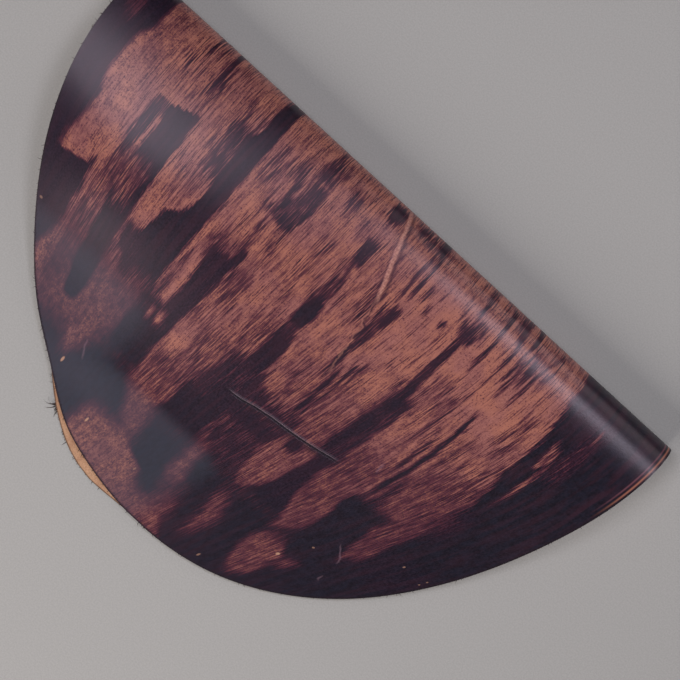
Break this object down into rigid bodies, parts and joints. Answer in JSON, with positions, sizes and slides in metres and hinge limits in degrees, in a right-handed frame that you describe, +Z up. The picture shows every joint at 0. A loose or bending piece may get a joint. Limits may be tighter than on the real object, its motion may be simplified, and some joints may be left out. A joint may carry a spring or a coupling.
{
  "type": "folded leather shell",
  "caption": "Oval shell of dyed horse leather folded in half with its polished side out, lying flat with a soft rolled fold.",
  "frame": {"origin": "centre of the folded shell's box, on the surface that it lies on", "axes": "+X along the fold, +Y towards the fold, so the free edges lie at -Y, +Z up"},
  "size_m": [0.4892, 0.2884, 0.0382],
  "materials": {
    "dyed_leather": "oiled and rolled to a soft polish, hand dyed plum over copper brown"
  },
  "bodies": {
    "root": {"leather_shell": "dyed_leather"}
  },
  "joints": []
}
